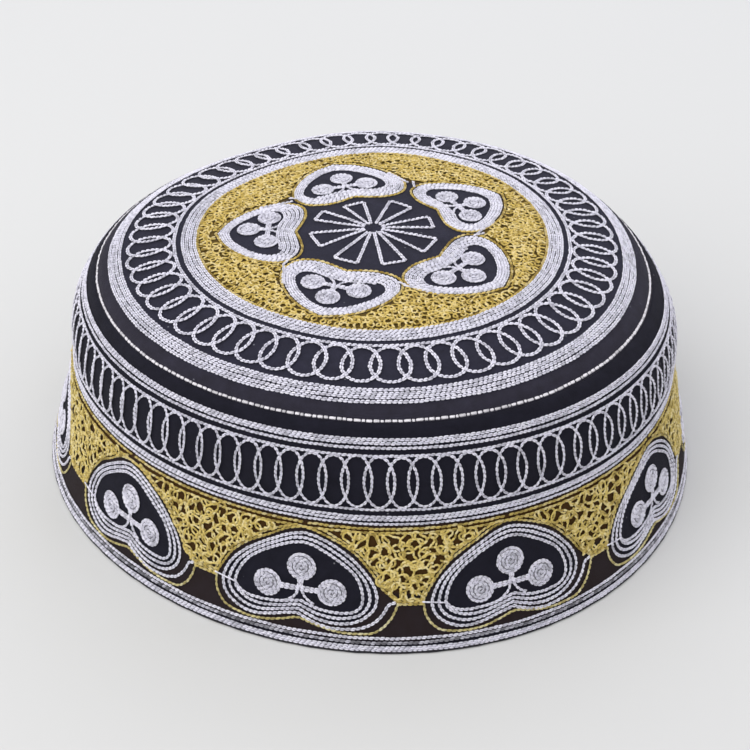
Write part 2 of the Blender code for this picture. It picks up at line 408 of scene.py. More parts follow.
def turn_of(right, left):
    """One turn of a spiral from its two sides, as a function of the share of the turn."""
    up_right, down_left = curve_through(right), curve_through(left)

    def at(share):
        return np.where((share < 0.5)[:, None], up_right(np.clip(2 * share, 0.0, 1.0)),
                        down_left(np.clip(2 * share - 1, 0.0, 1.0)))
    return at


SIDE_FIRST = turn_of(SIDE_FIRST_RIGHT, SIDE_FIRST_LEFT)
SIDE_THIRD = turn_of(SIDE_THIRD_RIGHT, SIDE_THIRD_LEFT)


def spiral(first, last, turns_apart, turns, beyond):
    """Points of a heart's spiral after so many turns from the cleft, out along the right side."""
    turns = np.asarray(turns, float)
    whole = np.floor(turns)
    start, end = first(turns - whole), last(turns - whole)
    return start + (end - start) * ((whole + beyond) / turns_apart)[:, None]


def moved_out(xy, distance):
    """A path moved outward, square to itself."""
    ahead = unit(np.gradient(xy, axis=0))
    return xy + np.stack([ahead[:, 1], -ahead[:, 0]], axis=-1) * np.asarray(distance)[..., None]


def mirrored(points):
    """The other half of a symmetrical outline, from its end back to its start."""
    return tuple(Point(-point.across, point.up) for point in reversed(points))


def wobble(count, amount, waves, rng):
    """A smooth uneven line round the cap, for rows that no hand guides quite straight."""
    angle = np.linspace(0.0, TURN, count)
    line = np.zeros(count)
    for lobes in waves:
        line += rng.normal() * np.cos(lobes * angle + rng.uniform(0, TURN)) / math.sqrt(len(waves))
    return line * amount


def warped(index, count, bearing, warp, warp_bearing):
    """Bearing of one repeat of so many, a little wider apart on one side than on the other."""
    even = bearing + 360.0 * index / count
    return even - warp * math.sin(math.radians(even - warp_bearing))


def at_places(places, marks, values):
    """Points or directions at places along a path, from those at its marks."""
    return np.stack([np.interp(places, marks, values[:, k]) for k in range(3)], axis=-1)


class Yarn:
    """Rows of stitches that are joined into one mesh."""

    def __init__(self, seed):
        self.rng = np.random.default_rng(seed)
        self.points = []
        self.tones = []
        self.marks = []

    def row(self, angle, up, stitch, closed=False, lift=0.0):
        """Lays one row of stitches along a path on the cloth."""
        angle, up = np.asarray(angle, float), np.asarray(up, float)
        base, normal = cloth_frame(angle, up)
        path = base + normal * np.broadcast_to(lift, angle.shape)[:, None]
        marks = marks_along(path)
        total = marks[-1]
        if total < SHORTEST_ROW * stitch.length:
            return
        lay = stitch.lay
        count = max(1, int(round(total / stitch.length)))
        knots = np.linspace(0.0, total, count + 1)
        knots[1:-1] += self.rng.uniform(-lay.jitter, lay.jitter, count - 1) * stitch.length
        spans = np.diff(knots)
        size = 1.0 + self.rng.uniform(-SIZE_SPREAD, SIZE_SPREAD, (count, 1))
        sway = self.rng.normal(0.0, SWAY, (count, 1)) * stitch.width
        rise = self.rng.normal(0.0, RISE, (count, 1))
        tone = self.rng.uniform(0.0, 1.0, count)
        for sign in lay.sides:
            places = knots[:-1, None] + spans[:, None] * (np.array(lay.along) + sign * lay.stagger)
            places = np.mod(places, total) if closed else np.clip(places, 0.0, total)
            above = unit(at_places(places, marks, normal))
            side = unit(np.cross(above, self.directions(path, marks, places)))
            shift = sign * np.array(lay.part) * stitch.width * size + sway
            high = np.array(lay.ride) * stitch.height + rise
            middle = at_places(places, marks, path) + side * shift[..., None] + above * high[..., None]
            self.leg(middle, side, above, stitch, size)
            leg_tone = tone + self.rng.uniform(-LEG_TONE, LEG_TONE, count)
            self.tones.append(np.repeat(leg_tone, LEG_POINTS))
            self.marks.append(np.repeat(knots[:-1], LEG_POINTS))

    @staticmethod
    def directions(path, marks, places):
        """Which way the path runs at each place."""
        reach = 0.3
        behind = at_places(np.clip(places - reach, 0.0, marks[-1]), marks, path)
        ahead = at_places(np.clip(places + reach, 0.0, marks[-1]), marks, path)
        return unit(ahead - behind)

    def leg(self, middle, side, above, stitch, size):
        """One closed spindle of thread for each stitch: a tip, two rounds of four, and a tip."""
        points = np.empty((len(middle), LEG_POINTS, 3))
        half_wide = stitch.leg / 2 * size
        points[:, 0], points[:, 9] = middle[:, 0], middle[:, 3]
        for station, first in ((1, 1), (2, 5)):
            across = side[:, station] * half_wide
            upward = above[:, station] * LEG_HALF_HEIGHT
            for k, step in enumerate((across, upward, -across, -upward)):
                points[:, first + k] = middle[:, station] + step
        self.points.append(points.reshape(-1, 3))

    def made(self, name, slot, kind="plain"):
        """The joined mesh of all the rows, riding on the cap."""
        points = np.concatenate(self.points)
        legs = len(points) // LEG_POINTS
        base = np.arange(legs)[:, None, None] * LEG_POINTS
        quads = (base + np.array(LEG_QUADS)).reshape(-1)
        triangles = (base + np.array(LEG_TRIANGLES)).reshape(-1)
        corners = np.concatenate([quads, triangles])
        sizes = np.concatenate([np.full(len(quads) // 4, 4), np.full(len(triangles) // 3, 3)])
        along = np.tile(LEG_ALONG, legs) + np.concatenate(self.marks)
        grain = np.stack([along, np.tile(LEG_ROUND, legs)], axis=-1)
        tones = np.concatenate(self.tones)
        return made_mesh(name, points, corners, sizes, grain[corners], slot, kind, tones)


def made_mesh(name, points, corners, sizes, grain, slot, kind, tones):
    """A smooth mesh object from plain arrays, riding on the cap in the finish of its slot."""
    data = bpy.data.meshes.new(name)
    data.vertices.add(len(points))
    data.vertices.foreach_set("co", (points * MM).astype(np.float32).ravel())
    data.loops.add(len(corners))
    data.loops.foreach_set("vertex_index", corners.astype(np.int32))
    data.polygons.add(len(sizes))
    starts = np.concatenate([[0], np.cumsum(sizes)[:-1]]).astype(np.int32)
    data.polygons.foreach_set("loop_start", starts)
    data.uv_layers.new(name="thread").data.foreach_set("uv", grain.astype(np.float32).ravel())
    layer = data.attributes.new("tone", "FLOAT", "POINT")
    layer.data.foreach_set("value", np.clip(tones, 0.0, 1.0).astype(np.float32))
    data.update(calc_edges=True)
    if data.validate():
        raise RuntimeError(name + " has faulty faces")
    data.materials.append(finish_of(slot, kind))
    data.shade_smooth()
    piece = bpy.data.objects.new(name, data)
    bpy.context.scene.collection.objects.link(piece)
    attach(piece, BODY)
    return piece


def linked(tree, pairs):
    """Links sockets of a node tree, two by two."""
    for out_socket, in_socket in pairs:
        tree.links.new(out_socket, in_socket)


def with_inputs(node, values):
    """Sets the inputs of a node that are the same all over the surface."""
    for socket, value in values.items():
        node.inputs[socket].default_value = value
    return node


def made_node(tree, kind, values=None, **settings):
    """A node of a kind, with its settings and the values of its inputs."""
    node = tree.nodes.new(kind)
    for name, value in settings.items():
        setattr(node, name, value)
    return with_inputs(node, values or {})


def blank_material(name):
    """A material with its shader and output, and nothing linked to the shader."""
    material = bpy.data.materials.new(name)
    material.use_nodes = True
    tree = material.node_tree
    return material, tree, tree.nodes["Principled BSDF"]


def ramp_node(tree, stops):
    """A colour ramp with stops given as place and colour."""
    ramp = tree.nodes.new("ShaderNodeValToRGB")
    elements = ramp.color_ramp.elements
    while len(elements) < len(stops):
        elements.new(0.5)
    for element, (place, colour) in zip(elements, stops):
        element.position = place
        element.color = (*colour, 1.0)
    return ramp


def thread_material(name, colours, roughness, sheen):
    """Shiny embroidery thread: each stitch has its own tone, and fine filaments run along it."""
    material, tree, shader = blank_material(name)
    ramp = ramp_node(tree, tuple(zip((0.05, 0.5, 0.95), colours)))
    place = made_node(tree, "ShaderNodeTexCoord")
    tone = made_node(tree, "ShaderNodeAttribute", attribute_name="tone")
    patches = made_node(tree, "ShaderNodeTexNoise", {"Scale": 260.0, "Detail": 3.0})
    spread = made_node(tree, "ShaderNodeMath", {1: 0.3}, operation="MULTIPLY")
    mix = made_node(tree, "ShaderNodeMath", {1: 0.7}, operation="MULTIPLY_ADD")
    filaments = made_node(tree, "ShaderNodeTexWave", {"Scale": 2.2, "Distortion": 1.5},
                          bands_direction="DIAGONAL")
    bump = made_node(tree, "ShaderNodeBump", {"Strength": 0.6, "Distance": 0.00015})
    linked(tree, (
        (place.outputs["Object"], patches.inputs["Vector"]),
        (patches.outputs["Fac"], spread.inputs[0]),
        (tone.outputs["Fac"], mix.inputs[0]),
        (spread.outputs[0], mix.inputs[2]),
        (mix.outputs[0], ramp.inputs["Fac"]),
        (ramp.outputs["Color"], shader.inputs["Base Color"]),
        (place.outputs["UV"], filaments.inputs["Vector"]),
        (filaments.outputs["Fac"], bump.inputs["Height"]),
        (bump.outputs["Normal"], shader.inputs["Normal"]),
    ))
    with_inputs(shader, {"Roughness": roughness, "Sheen Weight": sheen, "Sheen Roughness": 0.4,
                         "Specular IOR Level": 0.45})
    return material


def cloth_material(name, dark, light, sheen, gloss, ground):
    """Black woven cloth: fine warp and weft, soft wear and a few pale specks of lint.

    Under dense gold stitches a painted reflection of the gold, the ground colour, is mixed in, as the
    mesh's tone says.
    """
    material, tree, shader = blank_material(name)
    threads = {"Scale": 1.6, "Distortion": 0.6, "Detail": 1.0}
    place = made_node(tree, "ShaderNodeTexCoord")
    warp = made_node(tree, "ShaderNodeTexWave", threads, bands_direction="X")
    weft = made_node(tree, "ShaderNodeTexWave", threads, bands_direction="Y")
    weave = made_node(tree, "ShaderNodeMath", operation="MULTIPLY")
    worn = made_node(tree, "ShaderNodeTexNoise", {"Scale": 260.0, "Detail": 6.0, "Roughness": 0.7})
    wear = made_node(tree, "ShaderNodeMath", {1: 0.6}, operation="MULTIPLY")
    blend = made_node(tree, "ShaderNodeMath", {1: 0.5}, operation="MULTIPLY_ADD")
    ramp = ramp_node(tree, ((0.15, dark), (0.95, light)))
    lint = made_node(tree, "ShaderNodeTexVoronoi", {"Scale": 190.0, "Randomness": 1.0})
    specks = ramp_node(tree, ((0.0, (0.42, 0.42, 0.46)), (0.055, (0.0, 0.0, 0.0))))
    add_lint = made_node(tree, "ShaderNodeMix", {"Factor": 0.6}, data_type="RGBA", blend_type="ADD")
    under = made_node(tree, "ShaderNodeAttribute", attribute_name="tone")
    # The painted reflection of the gold, mixed in between gold stitches.
    tint = made_node(tree, "ShaderNodeMix", {"B": (*ground, 1.0)}, data_type="RGBA")
    bump = made_node(tree, "ShaderNodeBump", {"Strength": 0.5, "Distance": 0.0002})
    linked(tree, (
        (place.outputs["UV"], warp.inputs["Vector"]),
        (place.outputs["UV"], weft.inputs["Vector"]),
        (warp.outputs["Fac"], weave.inputs[0]),
        (weft.outputs["Fac"], weave.inputs[1]),
        (place.outputs["Object"], worn.inputs["Vector"]),
        (place.outputs["Object"], lint.inputs["Vector"]),
        (worn.outputs["Fac"], wear.inputs[0]),
        (weave.outputs[0], blend.inputs[0]),
        (wear.outputs[0], blend.inputs[2]),
        (blend.outputs[0], ramp.inputs["Fac"]),
        (lint.outputs["Distance"], specks.inputs["Fac"]),
        (ramp.outputs["Color"], add_lint.inputs["A"]),
        (specks.outputs["Color"], add_lint.inputs["B"]),
        (under.outputs["Fac"], tint.inputs["Factor"]),
        (add_lint.outputs["Result"], tint.inputs["A"]),
        (tint.outputs["Result"], shader.inputs["Base Color"]),
        (weave.outputs[0], bump.inputs["Height"]),
        (bump.outputs["Normal"], shader.inputs["Normal"]),
    ))
    with_inputs(shader, {"Roughness": 0.92, "Sheen Weight": sheen, "Sheen Roughness": 0.45,
                         "Specular IOR Level": gloss})
    return material


class CapSizes(bpy.types.PropertyGroup):
    """Sizes that a user may change."""

    uneven: FloatProperty(
        name="Unevenness", description="How far a row strays from its line",
        default=0.1 * MM, min=0.0, unit="LENGTH", subtype="DISTANCE")
    coil_pitch: FloatProperty(
        name="Coil pitch", description="Distance between the turns of a stitched disc",
        default=0.81 * MM, min=0.5 * MM, unit="LENGTH", subtype="DISTANCE")
    seed: IntProperty(name="Seed", description="Changes every random draw", default=7, min=0)


class CapColours(bpy.types.PropertyGroup):
    """Colours that a user may change."""

    white: FloatVectorProperty(
        name="White thread", description="Colour of the white thread", subtype="COLOR",
        size=3, min=0.0, max=1.0, default=(0.90, 0.885, 0.99))
    gold: FloatVectorProperty(
        name="Gold thread", description="Colour of the gold thread", subtype="COLOR",
        size=3, min=0.0, max=1.0, default=(0.725, 0.532, 0.112))
    cloth: FloatVectorProperty(
        name="Cloth", description="Colour of the black cloth", subtype="COLOR",
        size=3, min=0.0, max=1.0, default=(0.0118, 0.0115, 0.0192))
    binding: FloatVectorProperty(
        name="Binding", description="Colour of the rim binding", subtype="COLOR",
        size=3, min=0.0, max=1.0, default=(0.030, 0.029, 0.034))


# White thread: its tint, and its darkest, middle and lightest stitch as shares of the white. The
# thread of painted shade is the white painted darker, and the thread of the topstitch is a warmer
# white.
WhiteThread = namedtuple("WhiteThread", "tint shares")
WHITE_THREADS = {
    "plain": WhiteThread((1.0, 1.0, 1.0), (0.6, 1.0, 1.05)),
    "painted_shade": WhiteThread((1.0, 1.0, 1.0), (0.09, 0.36, 0.9)),
    "cream": WhiteThread((1.0, 0.985, 0.91), (0.6, 1.0, 1.05)),
}
WHITE_ROUGHNESS, WHITE_SHEEN = 0.48, 0.15
# Gold thread: its darkest and lightest stitch. The gold of the band is paler: its netting a
# little, and the rows under its hearts more.
GOLD_DARK, GOLD_LIGHT = (0.28, 0.175, 0.014), (0.93, 0.785, 0.41)
PALE_GOLDS = {
    "net": ((0.28, 0.19, 0.03), (0.73, 0.565, 0.150), (0.86, 0.755, 0.42)),
    "foot": ((0.36, 0.29, 0.10), (0.74, 0.64, 0.27), (0.92, 0.86, 0.56)),
}
GOLD_ROUGHNESS, GOLD_SHEEN = 0.45, 0.06
# Cloth: how pale it is, its darkest and lightest threads as shares of that, its sheen, its gloss,
# and the painted reflection of the gold that shows on it between gold stitches. The top faces up: its
# sky-lit cloth is painted paler, as painted light from the sky, and so is its painted reflection of the
# gold.
Cloth = namedtuple("Cloth", "pale dark light sheen gloss ground")
CLOTHS = {
    ("black_cloth", "plain"): Cloth(1.0, 0.4, 1.8, 0.02, 0.1, (0.050, 0.024, 0.006)),
    ("black_cloth", "sky_lit"): Cloth(2.0, 0.4, 1.8, 0.03, 0.12, (0.110, 0.070, 0.014)),
    ("binding_cloth", "plain"): Cloth(1.0, 0.6, 1.4, 0.02, 0.1, (0.0, 0.0, 0.0)),
}


def shade(colour, factor):
    """A colour made darker or lighter."""
    return tuple(min(channel * factor, 1.0) for channel in colour)


def finish_of(slot, kind):
    """The finish of a material slot, made once. The frame's own plain materials keep their names."""
    name = "cap_" + slot + "_" + kind
    if name in bpy.data.materials:
        return bpy.data.materials[name]
    colours = bpy.context.scene.cap_colours
    if slot == "white_thread":
        thread = WHITE_THREADS[kind]
        white = tuple(channel * share for channel, share in zip(colours.white, thread.tint))
        stitches = tuple(shade(white, share) for share in thread.shares)
        return thread_material(name, stitches, WHITE_ROUGHNESS, WHITE_SHEEN)
    if slot == "gold_thread":
        stitches = PALE_GOLDS.get(kind, (GOLD_DARK, tuple(colours.gold), GOLD_LIGHT))
        return thread_material(name, stitches, GOLD_ROUGHNESS, GOLD_SHEEN)
    cloth = CLOTHS[slot, kind]
    colour = shade(colours.cloth if slot == "black_cloth" else colours.binding, cloth.pale)
    dark, light = shade(colour, cloth.dark), shade(colour, cloth.light)
    return cloth_material(name, dark, light, cloth.sheen, cloth.gloss, cloth.ground)


def shell(name, rounds, domed, slot, kind="plain", tint=()):
    """A closed cloth shell from rounds of points.

    The last round joins the first, and the weave goes round the cap. A domed shell is closed by a
    fan at both ends instead, and its weave lies straight as seen from above.
    """
    steps = len(rounds[0])
    points = np.concatenate(rounds)
    first = np.arange(steps)
    after = (first + 1) % steps
    last = len(rounds) - 1
    joins = [(low, low + 1) for low in range(last)]
    if not domed:
        joins.append((last, 0))
    corners, sizes = [], []
    for low, high in joins:
        low, high = low * steps, high * steps
        quads = np.stack([low + first, low + after, high + after, high + first], 1)
        corners.append(quads.ravel())
        sizes.append(np.full(steps, 4))
    if domed:
        for ring, start, end in ((last, first, after), (0, after, first)):
            low = ring * steps
            points = np.vstack([points, points[low:low + steps].mean(axis=0)])
            fan = np.stack([low + start, low + end, np.full(steps, len(points) - 1)], 1)
            corners.append(fan.ravel())
            sizes.append(np.full(steps, 3))
    tint = np.concatenate([tint, np.zeros(len(points) - len(tint))])
    corners, sizes = np.concatenate(corners), np.concatenate(sizes)
    if domed:
        weave = points[:, :2]
    else:
        angle = np.arctan2(points[:, 1] - SHIFT_Y, points[:, 0] - SHIFT_X)
        weave = np.stack([angle * SECTIONS[1].radius, points[:, 2]], axis=-1)
    return made_mesh(name, points, corners, sizes, weave[corners], slot, kind, tint)


CLOTH_STEPS = 300
CLOTH_ANGLES = np.linspace(0.0, TURN, CLOTH_STEPS, endpoint=False)


def cloth_rounds(ups, lift):
    """Rounds of points over the cloth, one for each distance up."""
    return [cloth_point(CLOTH_ANGLES, np.full(CLOTH_STEPS, up), lift) for up in ups]


def cloth_places(ups):
    """Angles and distances up of the points of such rounds."""
    angle, up = np.meshgrid(CLOTH_ANGLES, ups)
    return angle.ravel(), up.ravel()


class CAP_OT_cloth(bpy.types.Operator):
    """Makes the crown top, the side band and the rim binding as cloth shells"""

    bl_idname = "cap.cloth"
    bl_label = "Cloth"

    # Rounds of points over an outer face in two stretches: where the first ends and its rounds,
    # where the second starts and its rounds, and then the rounds inside. The top's last round
    # stops short of the middle.
    band_rounds = (55.0, 42, 55.8, 9, 6)
    top_rounds = (66.0, 12, 67.5, 34, 8)
    open_middle = 2.0
    # Where the cloth gets a painted reflection of the gold between gold stitches: from where, to where,
    # and how far outside the hearts. A faint share of the same colour spreads further on the band, and
    # over the plain strip of the crown.
    band_gold_reflection_area = (16.0, 33.4, 2.0)
    band_faint_area = (4.0, 34.0, 0.0)
    band_tint = 0.22
    top_gold_reflection_area = (30.0, 48.2, -0.3)
    strip_from, strip_tint = 72.6, 0.035
    # The binding: its rounded corner, the steps of that, how far it clears the floor, how far its
    # top laps under the band, and the points of its inner edge, by how far out and how high.
    corner, corner_steps, floor_gap, lap = 0.5, 5, 0.02, 0.1
    inner_edge = ((0.15, 0.02), (0.0, 0.15), (-0.15, 0.35))

    def execute(self, context):
        self.side_band()
        self.crown_top()
        self.rim_binding()
        return {"FINISHED"}

    def side_band(self):
        """The flaring wall: outer face upward, over the edge, and the inner face down again."""
        low, high = BINDING_HEIGHT + SEAM_GAP, SEAM_UP - SEAM_SHOWN / 2
        plain_to, plain, seam_from, seam, inside = self.band_rounds
        outer = np.concatenate([np.linspace(low, plain_to, plain), np.linspace(seam_from, high, seam)])
        inner = np.linspace(low, high, inside)[::-1]
        rounds = cloth_rounds(outer, 0.0) + cloth_rounds(inner, -BAND_THICKNESS)
        places = cloth_places(outer)
        # The tint paints the gold's reflection on the cloth between the gold stitches, and a fainter
        # share of it further out.
        faint = self.band_tint * side_ground(*places, *self.band_faint_area)
        tint = np.maximum(side_ground(*places, *self.band_gold_reflection_area), faint)
        piece = shell("side_band_cloth", rounds, False, "black_cloth", tint=tint)
        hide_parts("side_band")

    def crown_top(self):
        """The domed top, whose edge turns down to the seam."""
        low, high = SEAM_UP + SEAM_SHOWN / 2, CENTRE_UP - self.open_middle
        seam_to, seam, plain_from, plain, inside = self.top_rounds
        outer = np.concatenate([np.linspace(low, seam_to, seam), np.linspace(plain_from, high, plain)])
        inner = np.linspace(low, high, inside)
        rounds = cloth_rounds(inner[::-1], -TOP_THICKNESS) + cloth_rounds(outer, 0.0)
        angle, up = cloth_places(outer)
        radius = outline(up)[0]
        # The tint paints the gold's reflection on the cloth between the gold stitches, and a faint
        # share of it on the plain strip.
        strip = self.strip_tint * (radius > self.strip_from)
        tint = np.maximum(top_ground(angle, radius, *self.top_gold_reflection_area), strip)
        tint = np.concatenate([np.zeros(len(inner) * CLOTH_STEPS), tint])
        # The top takes the sky-lit cloth: painted paler, as painted light from the sky above it.
        piece = shell("crown_top_cloth", rounds, True, "black_cloth", "sky_lit", tint)
        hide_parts("crown_top")

    def rim_binding(self):
        """The narrow binding of the bottom edge, with soft round corners."""
        top_radius, top_height = outline(BINDING_HEIGHT)
        foot = SECTIONS[0].radius
        outer = foot + BINDING_PROUD
        inner = foot - BAND_THICKNESS - BINDING_PROUD
        section = [(float(top_radius) - self.lap, float(top_height) + self.lap)]
        for step in range(self.corner_steps + 1):
            turn = math.pi / 2 * step / self.corner_steps
            section.append((outer - self.corner * (1 - math.cos(turn)),
                            self.corner * (1 - math.sin(turn)) + self.floor_gap))
        section += [(inner + inward, height) for inward, height in self.inner_edge]
        frayed = swelling(FRAYS, CLOTH_ANGLES, 0.0)
        rounds = [settled(CLOTH_ANGLES, radius + frayed, np.full(CLOTH_STEPS, height))
                  for radius, height in section]
        piece = shell("rim_binding_cloth", rounds[::-1], False, "binding_cloth")
        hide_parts("rim_binding")


# How often the line of a row swings aside on its way round. Rows that lie beside others are held
# by them and stray less.
ROW_SWINGS = (3, 7, 13, 22, 41)
HELD = 0.6


def ring_row(yarn, up, stitch, uneven):
    """One row all round the cap."""
    count = int(TURN * SECTIONS[0].radius / PATH_STEP)
    angle = np.linspace(0.0, TURN, count) + yarn.rng.uniform(0.0, TURN)
    stray = wobble(count, uneven, ROW_SWINGS, yarn.rng)
    yarn.row(angle, up + stray, stitch, closed=True)


# An oval: its points, how much wider it is at the top, and how high it rides over its neighbours.
OVAL_POINTS, OVAL_EGG, OVAL_OVER = 72, 0.06, 0.16


def oval_rows(yarn, loops, on_top, stitch, uneven):
    """Ovals that overlap their neighbours, each crossing over on one side and under on the other."""
    phase = np.linspace(0.0, TURN, OVAL_POINTS)
    for index in range(loops.count):
        centre = warped(index + 0.5, loops.count, loops.bearing, loops.warp, loops.warp_bearing)
        upward, taller, wider, aside = yarn.rng.normal(0.0, uneven, 4)
        middle = (loops.low + loops.high) / 2 + upward
        half_high = (loops.high - loops.low) / 2 + taller / 2
        half_wide = loops.half_width * (1.0 + wider / 4)
        across = half_wide * np.sin(phase) * (1 + OVAL_EGG * np.cos(phase)) + aside
        along = middle + half_high * np.cos(phase)
        over = OVAL_OVER + OVAL_OVER * np.sin(phase)
        if on_top:
            angle, up = math.radians(centre) + across / middle, up_at_radius(along)
        else:
            angle, up = math.radians(centre) + across / outline(along)[0], along
        yarn.row(angle, up, stitch, closed=True, lift=over)


# A coil: the points of a turn, the radius that it starts at, how much of a turn runs along the
# edge, how far its line strays and how often, and how high it lies at the edge and in the middle.
COIL_POINTS, COIL_START, COIL_LAST = 36, 0.15, 0.9
COIL_UNEVEN, COIL_SWING = 0.12, 1.7
COIL_LIFT, COIL_DOME = 0.1, 0.25


def coil_row(yarn, place, disc, pitch, stitch):
    """A stitched disc: a coil that runs out from the middle to a round edge, a little domed."""
    edge = disc.radius - stitch.width / 2
    turns = edge / pitch + COIL_LAST
    share = np.linspace(0.0, 1.0, int(turns * COIL_POINTS))
    turn = TURN * turns * share + yarn.rng.uniform(0.0, TURN)
    uneven = COIL_UNEVEN * np.sin(COIL_SWING * turn + yarn.rng.uniform(0.0, TURN))
    radius = np.minimum(COIL_START + turns * share * pitch + uneven, edge)
    across = disc.across + radius * np.cos(turn)
    along = disc.up + radius * np.sin(turn)
    lift = COIL_DOME * (1 - (radius / edge) ** 2) + COIL_LIFT
    yarn.row(*place(across, along), stitch, lift=lift)


# A pad's rounds, as shares of the disc's radius and heights over the cloth, and the steps of a
# round. The pads are in the thread of painted shade, for the shade between a coil's turns. How light
# the pads are: those of the top show less.
PAD_ROUNDS = ((0.3, 0.16), (0.62, 0.12), (0.84, 0.03), (0.9, -0.15))
PAD_STEPS = 24
BAND_PAD_TONE, TOP_PAD_TONE = 0.45, 0.85


def disc_pad(place, disc):
    """A low round pad of thread under a stitched disc, so that no black shows between its turns."""
    turn = np.linspace(0.0, TURN, PAD_STEPS, endpoint=False)
    points = []
    for share, lift in PAD_ROUNDS:
        across = disc.across + disc.radius * share * np.cos(turn)
        along = disc.up + disc.radius * share * np.sin(turn)
        base, normal = cloth_frame(*place(across, along))
        points.append(base + normal * lift)
    return np.stack(points)


def pads_made(name, pads, tone):
    """The joined mesh of the pads: their rounds, and one flat face in the middle of each."""
    around = np.arange(PAD_STEPS)
    after = (around + 1) % PAD_STEPS
    corners, sizes = [], []
    for index in range(len(pads)):
        first = index * len(PAD_ROUNDS) * PAD_STEPS
        for ring in range(len(PAD_ROUNDS) - 1):
            low, high = first + ring * PAD_STEPS, first + (ring + 1) * PAD_STEPS
            quads = np.stack([low + after, low + around, high + around, high + after], 1)
            corners.append(quads.ravel())
            sizes.append(np.full(PAD_STEPS, 4))
        corners.append(first + around)
        sizes.append(np.array([PAD_STEPS]))
    points = np.concatenate(pads).reshape(-1, 3)
    corners, sizes = np.concatenate(corners), np.concatenate(sizes)
    grain, tones = points[corners][:, :2], np.full(len(points), tone)
    # The pads take the thread of painted shade: painted shade between the coil's turns.
    return made_mesh(name, points, corners, sizes, grain, "white_thread", "painted_shade", tones)


FEWEST_POINTS = 8


def line_row(yarn, place, start, end, stitch, lift):
    """A short straight row between two points."""
    count = max(FEWEST_POINTS, int(math.dist(start, end) / PATH_STEP))
    share = np.linspace(0.0, 1.0, count)
    across = start[0] + (end[0] - start[0]) * share
    along = start[1] + (end[1] - start[1]) * share
    yarn.row(*place(across, along), stitch, lift=lift)


# The stems of a trefoil are two rows beside each other that run a little into the disc. How far
# the rows lie aside, how far they run in, and how high the stems and the legs lie.
STEM_ASIDE, STEM_IN, STEM_LIFT = 0.36, 0.5, 0.12
LEG_LIFT, LEG_PATH = 0.08, 40


def trefoil(yarn, place, discs, joint, legs, pitch):
    """Three discs joined by short stems, and the two legs that run down to the rows."""
    for disc in discs:
        coil_row(yarn, place, disc, pitch, COIL)
        reach = Vector((disc.across - joint.across, disc.up - joint.up))
        square = Vector((-reach.y, reach.x)).normalized() * STEM_ASIDE
        end = Vector((disc.across, disc.up)) - reach.normalized() * (disc.radius - STEM_IN)
        for side in (square, -square):
            line_row(yarn, place, Vector(joint) + side, end + side, WHITE, STEM_LIFT)
    for leg in legs:
        xy = curve_through(leg)(np.linspace(0.0, 1.0, LEG_PATH))
        yarn.row(*place(xy[:, 0], xy[:, 1]), WHITE_FINE, lift=LEG_LIFT)


class CAP_OT_band_rows(bpy.types.Operator):
    """Stitches the white rows round the band and the hem"""

    bl_idname = "cap.band_rows"
    bl_label = "Band rows"

    def execute(self, context):
        sizes = context.scene.cap_sizes
        uneven = sizes.uneven / MM
        yarn = Yarn(sizes.seed + 1)
        for up in BAND_WHITE_ROWS:
            ring_row(yarn, up, WHITE_FINE if up in BAND_SINGLE_ROWS else WHITE, uneven * HELD)
        yarn.made("band_rows", "white_thread")
        yarn = Yarn(sizes.seed + 2)
        for up in HEM_ROWS:
            ring_row(yarn, up, WHITE, uneven * HELD)
        yarn.made("hem_rows", "white_thread")
        # One hem row is in the thread of painted shade: the white painted darker.
        yarn = Yarn(sizes.seed + 16)
        ring_row(yarn, HEM_PAINTED_SHADE_ROW, WHITE_THIN, uneven)
        yarn.made("hem_painted_shade_row", "white_thread", "painted_shade")
        return {"FINISHED"}


class CAP_OT_band_loops(bpy.types.Operator):
    """Stitches the interlaced ovals round the band"""

    bl_idname = "cap.band_loops"
    bl_label = "Band ovals"

    def execute(self, context):
        sizes = context.scene.cap_sizes
        yarn = Yarn(sizes.seed + 3)
        oval_rows(yarn, BAND_LOOPS, False, WHITE_FINE, sizes.uneven / MM)
        yarn.made("band_ovals", "white_thread")
        return {"FINISHED"}


# A band heart's spiral, in turns from the cleft, and its points. At its start it comes in from
# further out: from where, over how far, how much of the way, and how bent.
SIDE_START, SIDE_END, SIDE_POINTS = -0.218, 3.09, 1500
JOIN_FROM, JOIN_OVER, JOIN_REACH, JOIN_BEND = -0.12, 0.098, 0.92, 1.5
# How the last turn of a band heart swings out to its end.
SIDE_TAIL = (
    Point(14.9, 6.6), Point(17.5, 7.65), Point(19.5, 9.4), Point(20.8, 11.4), Point(21.6, 13.1),
    Point(23.4, 13.9),
)
TAIL_POINTS = 90
# The single strand that jumps from the gold to the heart, and how high it lies.
JUMP = (Point(-22.6, 14.0), Point(-16.6, 13.3))
JUMP_LIFT = 0.4


